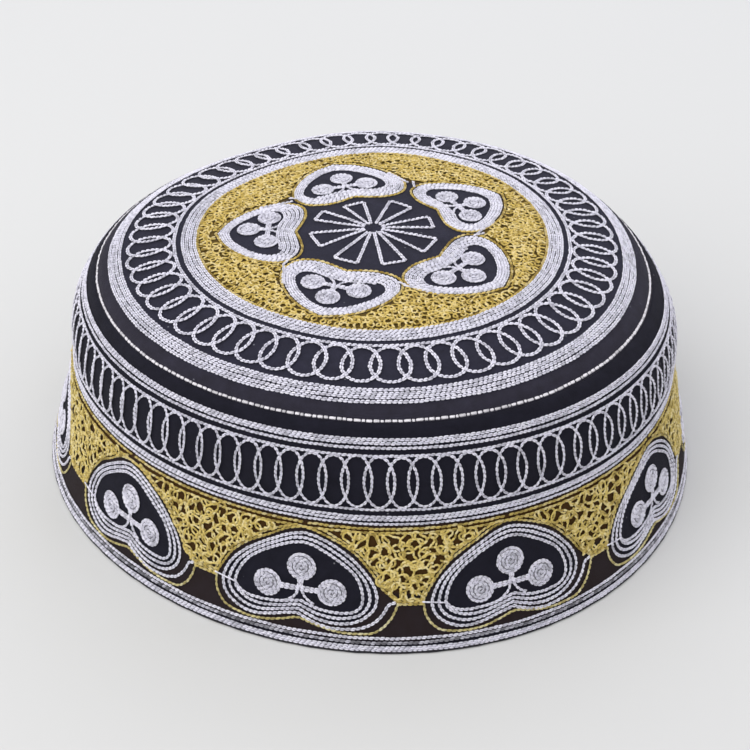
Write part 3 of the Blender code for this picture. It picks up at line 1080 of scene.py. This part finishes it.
class CAP_OT_band_hearts(bpy.types.Operator):
    """Stitches the white hearts of the band, each one long spiral round a trefoil"""

    bl_idname = "cap.band_hearts"
    bl_label = "Band hearts"

    def execute(self, context):
        sizes = context.scene.cap_sizes
        rows, discs = Yarn(sizes.seed + 4), Yarn(sizes.seed + 5)
        pads = []
        turns = np.linspace(SIDE_START, SIDE_END, SIDE_POINTS)
        joining = JOIN_REACH * np.clip((JOIN_FROM - turns) / JOIN_OVER, 0.0, 1.0) ** JOIN_BEND
        xy = spiral(SIDE_FIRST, SIDE_THIRD, SIDE_TURNS, turns, joining)
        tail = curve_through((Point(*xy[-1]), *SIDE_TAIL))(np.linspace(0.0, 1.0, TAIL_POINTS))
        xy = np.concatenate([xy, tail[1:]])
        for heart in SIDE_HEARTS:
            def place(across, up, heart=heart):
                return band_place(heart, across, up)
            rows.row(*place(xy[:, 0], xy[:, 1]), WHITE)
            line_row(rows, place, *JUMP, STRAND, JUMP_LIFT)
            trefoil(discs, place, SIDE_DISCS, SIDE_JOINT, SIDE_LEGS, sizes.coil_pitch / MM)
            pads += [disc_pad(place, disc) for disc in SIDE_DISCS]
        rows.made("band_hearts", "white_thread")
        discs.made("band_trefoils", "white_thread")
        pads_made("band_disc_pads", pads, BAND_PAD_TONE)
        return {"FINISHED"}


def inside_outline(x, y, corners):
    """Which points lie inside a closed outline."""
    inside = np.zeros(len(x), bool)
    for (x0, y0), (x1, y1) in zip(corners, np.roll(corners, -1, axis=0)):
        if y0 == y1:
            continue
        crosses = (y0 > y) != (y1 > y)
        inside ^= crosses & (x < (x1 - x0) * (y - y0) / (y1 - y0) + x0)
    return inside


def runs(keep, shortest):
    """Stretches of a path that are kept, as slices at least so long."""
    edges = np.flatnonzero(np.diff(np.concatenate([[0], keep.astype(int), [0]])))
    return [slice(a, b) for a, b in zip(edges[::2], edges[1::2]) if b - a >= shortest]


# A curly line: its points to a curl, how far apart its changes are, how much the size and the
# speed of its curls vary, and how far it drifts.
CURL_POINTS, CURL_CHANGES = 26, 2.0
CURL_SIZES, CURL_SPEEDS, CURL_DRIFT = (0.65, 1.3), (0.6, 1.4), 0.5


def curls(rng, length, pitch, radius):
    """A curly line along a straight one: how far along and aside it lies, unevenly."""
    share = np.linspace(0.0, 1.0, int(length / pitch * CURL_POINTS))
    knots = int(length / CURL_CHANGES)
    at, marks = share * knots, np.arange(knots + 1)
    size = np.interp(at, marks, rng.uniform(*CURL_SIZES, knots + 1))
    drift = np.interp(at, marks, rng.normal(0.0, CURL_DRIFT, knots + 1))
    speed = np.interp(at, marks, rng.uniform(*CURL_SPEEDS, knots + 1))
    turn = np.cumsum(speed) / np.sum(speed) * TURN * length / pitch
    return share * length + radius * size * np.cos(turn), radius * size * np.sin(turn) + drift


EDGE_POINTS = 120


def side_ground(angle, up, low, high, gap):
    """Which points on the band lie between the hearts, and between two distances up."""
    free = (up > low) & (up < high)
    edge = moved_out(SIDE_THIRD(np.linspace(0.0, 1.0, EDGE_POINTS)), gap)
    for heart in SIDE_HEARTS:
        free &= ~inside_outline(in_drawing(heart, angle, up), up, edge)
    return free


# Packed circles: how many points of each have to lie in the free ground, and how much their sizes
# vary.
CIRCLE_POINTS, CIRCLE_SIZES = 8, (0.88, 1.12)


def packed_circles(rng, free, corners, radii, tries, spread):
    """Circles of falling size that keep clear of each other, as rows of x, y and radius."""
    (x_low, y_low), (x_high, y_high) = corners
    kept = np.empty((0, 3))
    turn = np.linspace(0.0, TURN, CIRCLE_POINTS, endpoint=False)
    for radius in radii:
        x, y = rng.uniform(x_low, x_high, tries), rng.uniform(y_low, y_high, tries)
        size = radius * rng.uniform(*CIRCLE_SIZES, tries)
        round_x = x[:, None] + size[:, None] * np.cos(turn)
        round_y = y[:, None] + size[:, None] * np.sin(turn)
        clear = free(round_x.ravel(), round_y.ravel()).reshape(round_x.shape).all(axis=1)
        for circle in np.stack([x, y, size], axis=-1)[clear]:
            apart = np.hypot(kept[:, 0] - circle[0], kept[:, 1] - circle[1])
            if np.all(apart > (kept[:, 2] + circle[2]) * spread):
                kept = np.vstack([kept, circle])
    return kept


# A curl: its points, how many turns it makes, how oval and how lobed it is, and how it widens.
LOOP_POINTS, LOOP_TURNS = 44, (0.9, 1.35)
LOOP_OVAL, LOOP_LOBES, LOOP_WIDENS = (0.15, 0.45), (0.05, 0.2), (0.8, 1.2)


def curl(rng, circle):
    """A loop a little more than once round a circle, not quite round and not quite closed."""
    x, y, radius = circle
    turn = rng.uniform(0.0, TURN) + np.linspace(0.0, TURN * rng.uniform(*LOOP_TURNS), LOOP_POINTS)
    oval = rng.uniform(*LOOP_OVAL) * np.cos(2 * turn + rng.uniform(0.0, TURN))
    lobes = rng.uniform(*LOOP_LOBES) * np.cos(3 * turn + rng.uniform(0.0, TURN))
    size = radius * (1 + oval + lobes) * np.linspace(*LOOP_WIDENS, LOOP_POINTS)
    return x + size * np.cos(turn), y + size * np.sin(turn)


# A loose arc: its points, its length, how far it turns, and how far and how often it sways.
ARC_POINTS, ARC_LENGTHS, ARC_TURNS = 60, (6.0, 12.0), (-2.6, 2.6)
ARC_SWAY, ARC_SWINGS = 0.5, 9


def long_arc(rng, corners):
    """A loose arc that wanders over the curls."""
    (x_low, y_low), (x_high, y_high) = corners
    share = np.linspace(0.0, 1.0, ARC_POINTS)
    heading = rng.uniform(0.0, TURN) + rng.uniform(*ARC_TURNS) * share
    heading = heading + ARC_SWAY * np.sin(ARC_SWINGS * share + rng.uniform(0.0, TURN))
    step = rng.uniform(*ARC_LENGTHS) / ARC_POINTS
    x = rng.uniform(x_low, x_high) + np.cumsum(np.cos(heading)) * step
    y = rng.uniform(y_low, y_high) + np.cumsum(np.sin(heading)) * step
    return x, y


class CAP_OT_band_gold(bpy.types.Operator):
    """Stitches the gold rows, the gold edges of the band's hearts and the netting between them"""

    bl_idname = "cap.band_gold"
    bl_label = "Band gold"

    # The netting: where it lies, how close to the hearts, its curls from large to small, how often
    # each size is tried, how closely they are packed, its loose arcs, how far from the hearts'
    # middles those start, the fewest points of a piece of arc, and how high both lie.
    net_low, net_high, net_gap, net_middle = 14.2, 32.0, 1.9, 23.0
    curl_radii = (1.75, 1.5, 1.3, 1.1, 0.9, 0.72)
    curl_tries, curl_packing, curl_lift = 420, 0.70, (0.0, 0.3)
    arcs, arc_margin, arc_shortest, arc_lift = 21, 2.0, 10, (0.1, 0.35)
    # Gold rows over the hearts: their gaps, the share of the turn that they follow, their points,
    # their shortest run, how far and how often they sway, their lowest place, and how they bend
    # away at their ends: from where, over how far, how sharply, and how far right and left.
    edge_gaps = (1.45, 2.25)
    edge_share, edge_points, edge_shortest = (0.1, 0.9), 400, 8
    edge_sway, edge_swings, edge_low = 0.12, (40, 70), 13.9
    bend_from, bend_over, bend_power, bend_right, bend_left = 18.0, 4.0, 1.5, 3.3, -0.6
    # How far the row at the netting's top strays, how far over it the rows round the hearts
    # reach, and the points of the row under each heart.
    wandering, above_row = 0.22, 0.5
    foot_points = 320
    # The row under the white ones: its ends aside of the tips, its points, and how it strays.
    upper_start, upper_end, upper_points = 1.1, 0.1, 220
    upper_stray, upper_swings = 0.07, (2, 5, 9)
    # Short rows at the foot of the netting: how far up, and their ends beside the two hearts.
    short_rows = ((13.3, 23.5, 22.0), (13.95, 23.2, 21.8), (14.6, 23.4, 21.9))
    short_points, short_lift = 60, 0.05

    def execute(self, context):
        sizes = context.scene.cap_sizes
        rows, net, feet = Yarn(sizes.seed + 6), Yarn(sizes.seed + 7), Yarn(sizes.seed + 17)
        ring_row(rows, BAND_GOLD_ROWS[0], GOLD_FINE, self.wandering)
        foot = curve_through(SIDE_GOLD_FOOT)(np.linspace(0.0, 1.0, self.foot_points))
        for index, heart in enumerate(SIDE_HEARTS):
            def place(across, up, heart=heart):
                return band_place(heart, across, up)
            feet.row(*place(foot[:, 0], foot[:, 1]), GOLD_FINE)
            for gap in self.edge_gaps:
                xy = self.over_edge(gap, rows.rng)
                keep = (xy[:, 1] < BAND_GOLD_ROWS[0] + self.above_row) & (xy[:, 1] > self.edge_low)
                for run in runs(keep, self.edge_shortest):
                    rows.row(*place(xy[run, 0], xy[run, 1]), GOLD_FINE)
            following = SIDE_HEARTS[(index + 1) % len(SIDE_HEARTS)]
            self.upper_row(rows, heart, following)
            self.foot_rows(rows, heart, following)
            self.netting(net, heart, following)
        rows.made("band_gold_rows", "gold_thread", "net")
        net.made("band_gold_net", "gold_thread", "net")
        feet.made("band_gold_feet", "gold_thread", "foot")
        return {"FINISHED"}

    def over_edge(self, gap, rng):
        """A gold row over a heart, which bends away from it at both ends."""
        share = np.linspace(*self.edge_share, self.edge_points)
        swing = share * rng.uniform(*self.edge_swings) + rng.uniform(0.0, TURN)
        xy = moved_out(SIDE_THIRD(share), gap + self.edge_sway * np.sin(swing))
        bend = np.clip((self.bend_from - xy[:, 1]) / self.bend_over, 0.0, 1.0) ** self.bend_power
        xy[:, 0] += np.where(xy[:, 0] > 0, self.bend_right, self.bend_left) * bend
        return xy

    @staticmethod
    def between(heart, left, following, right, up, count):
        """Angles from one place on the band to another, in the drawings of two hearts."""
        start = band_place(heart, left, up)[0]
        end = band_place(following, right, up)[0]
        return np.linspace(start, start + (end - start) % TURN, count)

    def upper_row(self, yarn, heart, following):
        """The gold row under the white ones, which stops for a stitch over each tip."""
        up, count = BAND_GOLD_ROWS[1], self.upper_points
        angle = self.between(heart, self.upper_start, following, self.upper_end, up, count)
        stray = wobble(count, self.upper_stray, self.upper_swings, yarn.rng)
        yarn.row(angle, up + stray, GOLD_FINE)

    def foot_rows(self, yarn, heart, following):
        """Dense short rows that close the netting at its foot."""
        count = self.short_points
        for up, left, right in self.short_rows:
            angle = self.between(heart, left, following, -right, up, count)
            yarn.row(angle, np.full(count, up), GOLD_FINE, lift=self.short_lift)

    def netting(self, yarn, heart, following):
        """Loose curls that fill the ground between two hearts."""
        start = math.radians(heart.bearing)
        radius = float(outline(self.net_middle)[0])
        width = math.radians((following.bearing - heart.bearing) % 360.0) * radius

        def free(x, y):
            return side_ground(start + x / radius, y, self.net_low, self.net_high, self.net_gap)
        corners = ((0.0, self.net_low), (width, self.net_high))
        for circle in packed_circles(yarn.rng, free, corners, self.curl_radii, self.curl_tries,
                                     self.curl_packing):
            x, y = curl(yarn.rng, circle)
            yarn.row(start + x / radius, y, NETTING, lift=yarn.rng.uniform(*self.curl_lift))
        corners = ((self.arc_margin, self.net_low), (width - self.arc_margin, self.net_high))
        for _ in range(self.arcs):
            x, y = long_arc(yarn.rng, corners)
            for run in runs(free(x, y), self.arc_shortest):
                lift = yarn.rng.uniform(*self.arc_lift)
                yarn.row(start + x[run] / radius, y[run], NETTING, lift=lift)


class CAP_OT_top_rings(bpy.types.Operator):
    """Stitches the white rings of the top"""

    bl_idname = "cap.top_rings"
    bl_label = "Top rings"

    def execute(self, context):
        sizes = context.scene.cap_sizes
        yarn = Yarn(sizes.seed + 8)
        for radius in TOP_OUTER_ROWS + TOP_INNER_ROWS:
            ring_row(yarn, float(up_at_radius(radius)), WHITE_WIDE, sizes.uneven / MM * HELD)
        yarn.made("top_rings", "white_thread")
        return {"FINISHED"}


class CAP_OT_top_loops(bpy.types.Operator):
    """Stitches the interlaced ovals of the top"""

    bl_idname = "cap.top_loops"
    bl_label = "Top ovals"

    def execute(self, context):
        sizes = context.scene.cap_sizes
        yarn = Yarn(sizes.seed + 9)
        oval_rows(yarn, TOP_LOOPS, True, WHITE_WIDE, sizes.uneven / MM)
        yarn.made("top_ovals", "white_thread")
        return {"FINISHED"}


# A top heart's spiral, in turns from the cleft, and its points. Where its end runs on to, and the
# strand that joins it to its neighbour, with how high they lie. The points of its gold edge.
TOP_START, TOP_END, TOP_POINTS = -0.15, 4.3, 1900
TOP_TAIL, TOP_TAIL_LIFT = Point(17.2, 24.2), 0.2
TOP_STRAND, TOP_STRAND_LIFT = (Point(-14.4, 23.2), Point(-17.9, 24.8)), 0.3
TOP_EDGE_POINTS = 500


class CAP_OT_top_hearts(bpy.types.Operator):
    """Stitches the five dense hearts of the top and their trefoils"""

    bl_idname = "cap.top_hearts"
    bl_label = "Top hearts"

    def execute(self, context):
        sizes = context.scene.cap_sizes
        rows, discs, gold = (Yarn(sizes.seed + k) for k in (10, 11, 12))
        pads = []
        turns = np.linspace(TOP_START, TOP_END, TOP_POINTS)
        for heart in TOP_HEARTS:
            def place(across, out, bearing=heart.bearing):
                return top_place(bearing, across, out)

            def leaf_place(across, out, heart=heart):
                return top_place(heart.bearing, across + heart.leaf[0], out + heart.leaf[1])
            first, last = top_turns(heart)
            xy = spiral(first, last, TOP_TURNS, turns, turns - np.floor(turns))
            rows.row(*place(xy[:, 0], xy[:, 1]), WHITE_WIDE)
            tail, near, far = (np.add(point, heart.edge) for point in (TOP_TAIL, *TOP_STRAND))
            line_row(rows, place, xy[-1], tail, WHITE_FINE, TOP_TAIL_LIFT)
            line_row(rows, place, near, far, WHITE_FINE, TOP_STRAND_LIFT)
            trefoil(discs, leaf_place, TOP_DISCS, TOP_JOINT, TOP_LEGS, sizes.coil_pitch / MM)
            pads += [disc_pad(leaf_place, disc) for disc in TOP_DISCS]
            edge = last(np.linspace(0.0, 1.0, TOP_EDGE_POINTS))
            gold.row(*place(edge[:, 0], edge[:, 1]), GOLD)
        rows.made("top_hearts", "white_thread")
        discs.made("top_trefoils", "white_thread")
        pads_made("top_disc_pads", pads, TOP_PAD_TONE)
        gold.made("top_gold_edges", "gold_thread")
        return {"FINISHED"}


def top_turns(heart):
    """The first turn of a top heart's spiral, and the one that lies TOP_TURNS turns out."""
    inner = turn_of(TOP_INNER, mirrored(TOP_INNER))
    outer = turn_of(TOP_OUTER, mirrored(TOP_OUTER))

    def shaped(xy, tip, aside):
        return (xy - (0.0, tip)) * (heart.wide, heart.tall) + (0.0, tip) + aside

    def first(share):
        return shaped(inner(share), TOP_INNER[-1].up, heart.first)

    def last(share):
        return shaped(outer(share), TOP_OUTER[-1].up, heart.edge)
    return first, last


TOP_OUTLINE_POINTS = 160


def top_ground(angle, radius, low, high, gap):
    """Which points on the top lie between its hearts, and between two radii."""
    x, y = radius * np.cos(angle), radius * np.sin(angle)
    free = (radius > low) & (radius < high)
    for heart in TOP_HEARTS:
        edge = moved_out(top_turns(heart)[1](np.linspace(0.0, 1.0, TOP_OUTLINE_POINTS)), gap)
        turn = math.radians(heart.bearing)
        out = x * math.cos(turn) + y * math.sin(turn)
        across = x * math.sin(turn) - y * math.cos(turn)
        free &= ~inside_outline(across, out, edge)
    return free


class CAP_OT_top_gold(bpy.types.Operator):
    """Fills the ground round the top's hearts with dense gold curls"""

    bl_idname = "cap.top_gold"
    bl_label = "Top gold"

    # Where the ground ends inside, how far its first line of curls lies from the gold row and the
    # lines from each other, how close the curls come to the row and to the hearts, their pitch and
    # radius, the fewest points of a line, and how high the lines lie.
    star_radius, first_line, line_step = 30.5, 1.5, 1.6
    row_gap, heart_gap = 0.3, 0.5
    pitch, radius = 1.85, 1.15
    shortest, lift = 16, (0.0, 0.25)

    def execute(self, context):
        sizes = context.scene.cap_sizes
        yarn = Yarn(sizes.seed + 13)
        ring_row(yarn, float(up_at_radius(TOP_GOLD_ROW)), GOLD, sizes.uneven / MM)
        for level in np.arange(TOP_GOLD_ROW - self.first_line, self.star_radius, -self.line_step):
            along, aside = curls(yarn.rng, TURN * level, self.pitch, self.radius)
            angle, radius = along / level, level + aside
            edge = TOP_GOLD_ROW - self.row_gap
            keep = top_ground(angle, radius, self.star_radius, edge, self.heart_gap)
            for run in runs(keep, self.shortest):
                lift = yarn.rng.uniform(*self.lift)
                yarn.row(angle[run], up_at_radius(radius[run]), GROUND, lift=lift)
        yarn.made("top_gold_ground", "gold_thread")
        return {"FINISHED"}


class CAP_OT_rosette(bpy.types.Operator):
    """Stitches the eight open petals in the middle of the top"""

    bl_idname = "cap.rosette"
    bl_label = "Rosette"

    half_foot, lift = 0.4, 0.04

    def execute(self, context):
        yarn = Yarn(context.scene.cap_sizes.seed + 14)
        for petal in PETALS:
            def place(across, out, bearing=petal.bearing):
                return top_place(bearing, across, out)
            foot, wide = self.half_foot, petal.half_width
            corners = ((-foot, PETAL_START), (-wide, petal.reach),
                       (wide, petal.reach), (foot, PETAL_START))
            for start, end in zip(corners, corners[1:]):
                line_row(yarn, place, start, end, WHITE_WIDE, self.lift)
        yarn.made("rosette", "white_thread")
        return {"FINISHED"}


class CAP_OT_topstitch(bpy.types.Operator):
    """Sews the row of longer stitches just above the seam of the top"""

    bl_idname = "cap.topstitch"
    bl_label = "Topstitch"

    wandering = 0.08

    def execute(self, context):
        yarn = Yarn(context.scene.cap_sizes.seed + 15)
        ring_row(yarn, TOPSTITCH_UP, DASH, self.wandering)
        yarn.made("topstitch", "white_thread", "cream")
        return {"FINISHED"}


# The camera: its place and how many degrees it looks down, its lens and its picture in pixels, and
# the width of its sensor.
CAMERA_PLACE = (0.00186, -0.37193, 0.27457)
CAMERA_DROP = 34.55
LENS_PIXELS, PICTURE_PIXELS, SENSOR = 1550.0, 750.0, 36.0
# The floor: half its width, and its colour from far at the left to near at the right, painted darker
# near at the right as painted shade for the light that falls off there.
FLOOR_HALF = 10.0
FLOOR_FAR, FLOOR_NEAR = (0.608, 0.611, 0.590), (0.582, 0.583, 0.566)
FLOOR_ACROSS, FLOOR_FROM, FLOOR_TO = (0.35, -1.0, 0.0), -0.15, 0.25
# A soft even sky, a broad lamp in front at the left, a cool one behind, and a small one at the right.
SKY_COLOUR, SKY_STRENGTH = (0.955, 0.953, 1.0, 1.0), 0.985
Lamp = namedtuple("Lamp", "name place size power colour")
LAMPS = (
    Lamp("key_lamp", (-0.74, -0.54, 1.03), 1.6, 12.2, (1.0, 0.99, 0.98)),
    Lamp("back_lamp", (0.3, 1.05, 0.8), 1.0, 3.6, (0.82, 0.85, 1.0)),
    Lamp("side_lamp", (0.95, -0.55, 0.55), 0.8, 0.5, (0.96, 0.97, 1.0)),
)


class CAP_OT_stage(bpy.types.Operator):
    """Makes the pale floor, the soft light and the camera"""

    bl_idname = "cap.stage"
    bl_label = "Stage"

    def execute(self, context):
        self.floor(context)
        self.light(context)
        self.camera(context)
        return {"FINISHED"}

    @staticmethod
    def floor(context):
        """A large plain floor, painted a little darker towards the right in front, as painted shade."""
        data = bpy.data.meshes.new("floor")
        ends = (-FLOOR_HALF, FLOOR_HALF)
        data.from_pydata([(x, y, 0) for y in ends for x in ends], [], [(0, 1, 3, 2)])
        material, tree, shader = blank_material("pale_floor")
        place = made_node(tree, "ShaderNodeTexCoord")
        along = made_node(tree, "ShaderNodeVectorMath", {1: FLOOR_ACROSS}, operation="DOT_PRODUCT")
        spread = made_node(tree, "ShaderNodeMapRange", {"From Min": FLOOR_FROM, "From Max": FLOOR_TO})
        ramp = ramp_node(tree, ((0.0, FLOOR_FAR), (1.0, FLOOR_NEAR)))
        linked(tree, (
            (place.outputs["Object"], along.inputs[0]),
            (along.outputs["Value"], spread.inputs["Value"]),
            (spread.outputs["Result"], ramp.inputs["Fac"]),
            (ramp.outputs["Color"], shader.inputs["Base Color"]),
        ))
        with_inputs(shader, {"Roughness": 0.9, "Specular IOR Level": 0.1})
        data.materials.append(material)
        floor = bpy.data.objects.new("floor", data)
        context.scene.collection.objects.link(floor)

    @staticmethod
    def light(context):
        """The sky and the three lamps, each turned to the middle of the cap's foot."""
        world = bpy.data.worlds.new("soft_sky")
        world.use_nodes = True
        sky = world.node_tree.nodes["Background"]
        with_inputs(sky, {"Color": SKY_COLOUR, "Strength": SKY_STRENGTH})
        context.scene.world = world
        for name, place, size, power, colour in LAMPS:
            lamp = bpy.data.lights.new(name, "AREA")
            lamp.size = size
            lamp.energy = power
            lamp.color = colour
            lamp_object = bpy.data.objects.new(name, lamp)
            lamp_object.location = place
            lamp_object.rotation_euler = (-Vector(place)).to_track_quat("-Z", "Y").to_euler()
            context.scene.collection.objects.link(lamp_object)

    @staticmethod
    def camera(context):
        """The camera at the photograph's place, and colours that are shown as they are."""
        data = bpy.data.cameras.new("camera")
        data.sensor_width = SENSOR
        data.lens = LENS_PIXELS / PICTURE_PIXELS * SENSOR
        data.clip_start = 0.01
        camera = bpy.data.objects.new("camera", data)
        camera.location = CAMERA_PLACE
        camera.rotation_euler = (math.radians(90.0 - CAMERA_DROP), 0.0, 0.0)
        context.scene.collection.objects.link(camera)
        context.scene.camera = camera
        context.scene.view_settings.view_transform = "Standard"


OPERATORS = (
    CAP_OT_cloth, CAP_OT_band_rows, CAP_OT_band_loops, CAP_OT_band_hearts, CAP_OT_band_gold,
    CAP_OT_top_rings, CAP_OT_top_loops, CAP_OT_top_hearts, CAP_OT_top_gold, CAP_OT_rosette,
    CAP_OT_topstitch, CAP_OT_stage,
)


class CAP_PT_panel(bpy.types.Panel):
    """Lists the cap's pieces, sizes and colours"""

    bl_idname = "CAP_PT_panel"
    bl_label = "Embroidered cap"
    bl_space_type = "VIEW_3D"
    bl_region_type = "UI"
    bl_category = "Cap"

    def draw(self, context):
        layout = self.layout
        for group in (context.scene.cap_sizes, context.scene.cap_colours):
            for name in group.__annotations__:
                layout.prop(group, name)
        for operator in OPERATORS:
            layout.operator(operator.bl_idname)


CLASSES = (CapSizes, CapColours, *OPERATORS, CAP_PT_panel)


def register():
    """Registers the classes and hangs the settings on the scene."""
    for cls in CLASSES:
        bpy.utils.register_class(cls)
    bpy.types.Scene.cap_sizes = PointerProperty(type=CapSizes)
    bpy.types.Scene.cap_colours = PointerProperty(type=CapColours)


def unregister():
    """Takes the settings and the classes away again."""
    del bpy.types.Scene.cap_colours
    del bpy.types.Scene.cap_sizes
    for cls in reversed(CLASSES):
        bpy.utils.unregister_class(cls)


def main():
    """Makes every piece in order."""
    register()
    for make in (
            bpy.ops.cap.cloth, bpy.ops.cap.band_rows, bpy.ops.cap.band_loops, bpy.ops.cap.band_hearts,
            bpy.ops.cap.band_gold, bpy.ops.cap.top_rings, bpy.ops.cap.top_loops, bpy.ops.cap.top_hearts,
            bpy.ops.cap.top_gold, bpy.ops.cap.rosette, bpy.ops.cap.topstitch, bpy.ops.cap.stage):
        make()


if __name__ == "__main__":
    main()
